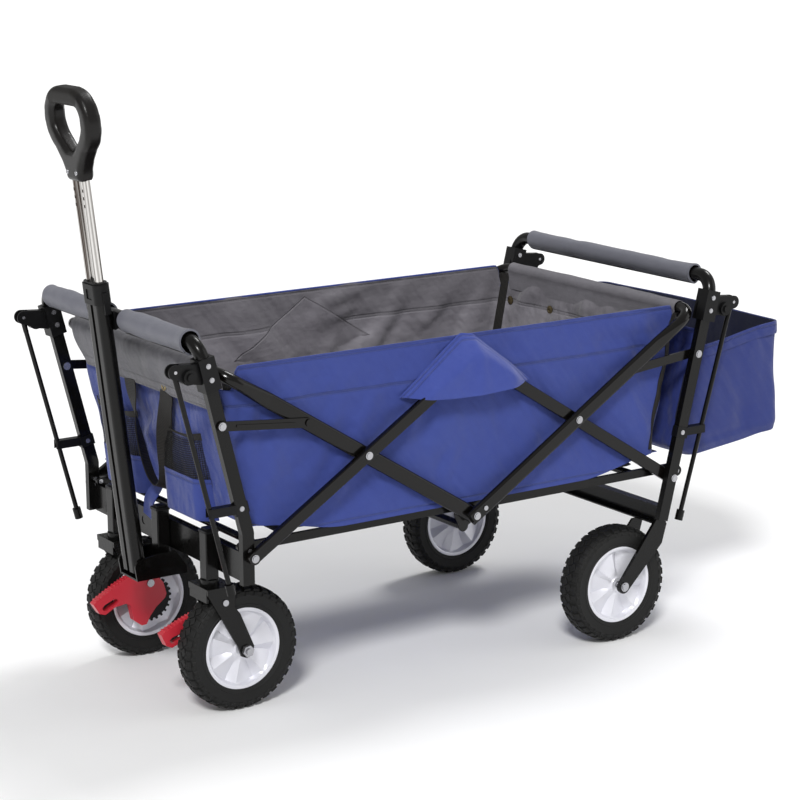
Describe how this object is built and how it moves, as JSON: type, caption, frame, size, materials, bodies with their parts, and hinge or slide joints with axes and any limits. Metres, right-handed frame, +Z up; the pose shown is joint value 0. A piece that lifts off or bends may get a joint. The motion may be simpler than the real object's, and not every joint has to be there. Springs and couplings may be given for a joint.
{
  "type": "folding wagon with pull handle",
  "caption": "Folding fabric wagon with scissor sides, telescopic pull handle, swivel front wheels with foot brakes, rear bag and folding canopy poles.",
  "frame": {"origin": "middle of the wagon between the end frames, on the ground", "axes": "+X towards the rear bag, +Y to the far side, +Z up; the pull handle is at -X"},
  "size_m": [1.259, 0.573, 0.9743],
  "materials": {
    "black_steel": "satin",
    "bar_steel": "satin",
    "grip_foam": "matte",
    "black_plastic": "matte",
    "rivet_steel": "polished",
    "blue_canvas": "woven",
    "grey_canvas": "woven",
    "mesh_grey": "mesh",
    "tread_rubber": "matte",
    "rim_plastic": "silver",
    "ring_plastic": "matte",
    "pedal_red": "glossy",
    "grip_plastic": "soft touch"
  },
  "bodies": {
    "front_frame": {"front_posts": "black_steel", "front_push_bar": "black_steel", "front_grip_sleeves": "grip_foam", "front_pole_brackets": "black_plastic", "front_pole_clips": "black_plastic", "front_crossbeam": "black_steel", "caster_stems": "black_steel", "stem_caps": "black_plastic", "front_rivets": "rivet_steel", "handle_yoke": "black_steel"},
    "front_bars": {"side_bars_front": "bar_steel", "side_bar_rivets": "rivet_steel"},
    "front_hoop": {"hoop_front": "bar_steel", "hoop_front_rivets": "rivet_steel", "basket_front": "blue_canvas", "front_pockets": "mesh_grey", "front_straps": "grey_canvas"},
    "rear_bars": {"side_bars_rear": "bar_steel", "side_flaps": "blue_canvas"},
    "rear_hoop": {"hoop_rear": "bar_steel", "hoop_rear_rivets": "rivet_steel", "basket_rear": "blue_canvas"},
    "rear_frame": {"rear_posts": "black_steel", "rear_push_bar": "black_steel", "rear_grip_sleeve": "grip_foam", "rear_pole_brackets": "black_plastic", "rear_pole_clips": "black_plastic", "rear_crossbeam": "black_steel", "rear_wheel_legs": "black_steel", "rear_rivets": "rivet_steel", "rear_bag": "blue_canvas"},
    "front_link_pair": {"links_front": "bar_steel"},
    "rear_link_pair": {"links_rear": "bar_steel"},
    "front_floor": {"floor_frame_front": "black_steel"},
    "rear_floor": {"floor_frame_rear": "black_steel"},
    "handle": {"handle_tube": "black_steel", "handle_collar": "black_plastic", "handle_clip": "black_plastic"},
    "handle_top": {"handle_rods": "rivet_steel", "hand_grip": "grip_plastic"},
    "caster_near": {"caster_fork_near": "black_steel", "caster_bolts_near": "rivet_steel"},
    "caster_far": {"caster_fork_far": "black_steel", "caster_bolts_far": "rivet_steel"},
    "wheel_front_near": {"tyre_front_near": "tread_rubber", "rim_front_near": "rim_plastic", "brake_ring_near": "ring_plastic"},
    "wheel_front_far": {"tyre_front_far": "tread_rubber", "rim_front_far": "rim_plastic", "brake_ring_far": "ring_plastic"},
    "wheel_rear_near": {"tyre_rear_near": "tread_rubber", "rim_rear_near": "rim_plastic"},
    "wheel_rear_far": {"tyre_rear_far": "tread_rubber", "rim_rear_far": "rim_plastic"},
    "pedal_near": {"brake_pedal_near": "pedal_red"},
    "pedal_far": {"brake_pedal_far": "pedal_red"},
    "pole_fn": {"pole_front_near": "black_steel"},
    "pole_ff": {"pole_front_far": "black_steel"},
    "pole_rn": {"pole_rear_near": "black_steel"},
    "pole_rf": {"pole_rear_far": "black_steel"}
  },
  "joints": [
    {"name": "fold", "type": "hinge", "parent": "front_frame", "child": "front_bars", "pos_m": [-0.412, 0, 0.277], "axis": [0, -1, 0], "range_deg": [0, 57.74], "deforming": ["basket_front", "basket_rear", "front_pockets", "front_straps", "side_flaps"]},
    {"name": "front_scissor", "type": "hinge", "parent": "front_bars", "child": "front_hoop", "pos_m": [-0.206, 0, 0.407], "axis": [0, -1, 0], "range_deg": [-99, 0]},
    {"name": "top_joint", "type": "hinge", "parent": "front_bars", "child": "rear_bars", "pos_m": [0, 0, 0.537], "axis": [0, -1, 0], "range_deg": [-99, 0]},
    {"name": "rear_scissor", "type": "hinge", "parent": "rear_bars", "child": "rear_hoop", "pos_m": [0.206, 0, 0.407], "axis": [0, -1, 0], "range_deg": [0, 99]},
    {"name": "rear_foot", "type": "hinge", "parent": "rear_bars", "child": "rear_frame", "pos_m": [0.412, 0, 0.277], "axis": [0, -1, 0], "range_deg": [0, 57.75]},
    {"name": "front_link", "type": "hinge", "parent": "front_frame", "child": "front_link_pair", "pos_m": [-0.45957, 0, 0.487], "axis": [0, -1, 0], "range_deg": [0, 90.74]},
    {"name": "rear_link", "type": "hinge", "parent": "rear_frame", "child": "rear_link_pair", "pos_m": [0.45997, 0, 0.487], "axis": [0, -1, 0], "range_deg": [-90.74, 0]},
    {"name": "front_floor_lift", "type": "hinge", "parent": "front_frame", "child": "front_floor", "pos_m": [-0.414, 0, 0.286], "axis": [0, -1, 0], "range_deg": [0, 90.51]},
    {"name": "rear_floor_lift", "type": "hinge", "parent": "rear_frame", "child": "rear_floor", "pos_m": [0.426, 0, 0.286], "axis": [0, -1, 0], "range_deg": [-90.51, 0]},
    {"name": "handle_tilt", "type": "hinge", "parent": "front_frame", "child": "handle", "pos_m": [-0.475, 0, 0.212], "axis": [0, -1, 0], "range_deg": [0, 75]},
    {"name": "handle_slide", "type": "slide", "parent": "handle", "child": "handle_top", "axis": [0.1115, 0, -0.9938], "range_m": [0, 0.14]},
    {"name": "caster_swivel_near", "type": "hinge", "parent": "front_frame", "child": "caster_near", "pos_m": [-0.426, -0.157, 0.21], "axis": [0, 0, 1], "continuous": true},
    {"name": "front_wheel_near", "type": "hinge", "parent": "caster_near", "child": "wheel_front_near", "pos_m": [-0.379, -0.157, 0.1], "axis": [0, -1, 0], "continuous": true},
    {"name": "brake_near", "type": "hinge", "parent": "caster_near", "child": "pedal_near", "pos_m": [-0.3893, -0.157, 0.1344], "axis": [0, -1, 0], "range_deg": [0, 14]},
    {"name": "rear_wheel_near", "type": "hinge", "parent": "rear_frame", "child": "wheel_rear_near", "pos_m": [0.312, -0.237, 0.1], "axis": [0, -1, 0], "continuous": true},
    {"name": "caster_swivel_far", "type": "hinge", "parent": "front_frame", "child": "caster_far", "pos_m": [-0.426, 0.157, 0.21], "axis": [0, 0, 1], "continuous": true},
    {"name": "front_wheel_far", "type": "hinge", "parent": "caster_far", "child": "wheel_front_far", "pos_m": [-0.379, 0.157, 0.1], "axis": [0, -1, 0], "continuous": true},
    {"name": "brake_far", "type": "hinge", "parent": "caster_far", "child": "pedal_far", "pos_m": [-0.3893, 0.157, 0.1344], "axis": [0, -1, 0], "range_deg": [-8, 6]},
    {"name": "rear_wheel_far", "type": "hinge", "parent": "rear_frame", "child": "wheel_rear_far", "pos_m": [0.312, 0.237, 0.1], "axis": [0, -1, 0], "continuous": true},
    {"name": "front_pole_near", "type": "hinge", "parent": "front_frame", "child": "pole_fn", "pos_m": [-0.53361, -0.258, 0.577], "axis": [0, 1, 0], "range_deg": [0, 190]},
    {"name": "front_pole_far", "type": "hinge", "parent": "front_frame", "child": "pole_ff", "pos_m": [-0.53361, 0.258, 0.577], "axis": [0, 1, 0], "range_deg": [0, 190]},
    {"name": "rear_pole_near", "type": "hinge", "parent": "rear_frame", "child": "pole_rn", "pos_m": [0.53602, -0.271, 0.568], "axis": [0, -1, 0], "range_deg": [0, 190]},
    {"name": "rear_pole_far", "type": "hinge", "parent": "rear_frame", "child": "pole_rf", "pos_m": [0.53602, 0.271, 0.568], "axis": [0, -1, 0], "range_deg": [0, 190]}
  ],
  "couplings": [
    {"joint": "front_scissor", "follows": "fold", "ratio": -1.7145},
    {"joint": "top_joint", "follows": "fold", "ratio": -1.7145},
    {"joint": "rear_scissor", "follows": "fold", "ratio": 1.7145},
    {"joint": "rear_foot", "follows": "fold", "ratio": 1},
    {"joint": "front_link", "follows": "fold", "ratio": 1.5715},
    {"joint": "rear_link", "follows": "fold", "ratio": -1.5715},
    {"joint": "front_floor_lift", "follows": "fold", "ratio": 1.5674},
    {"joint": "rear_floor_lift", "follows": "fold", "ratio": -1.5674}
  ]
}
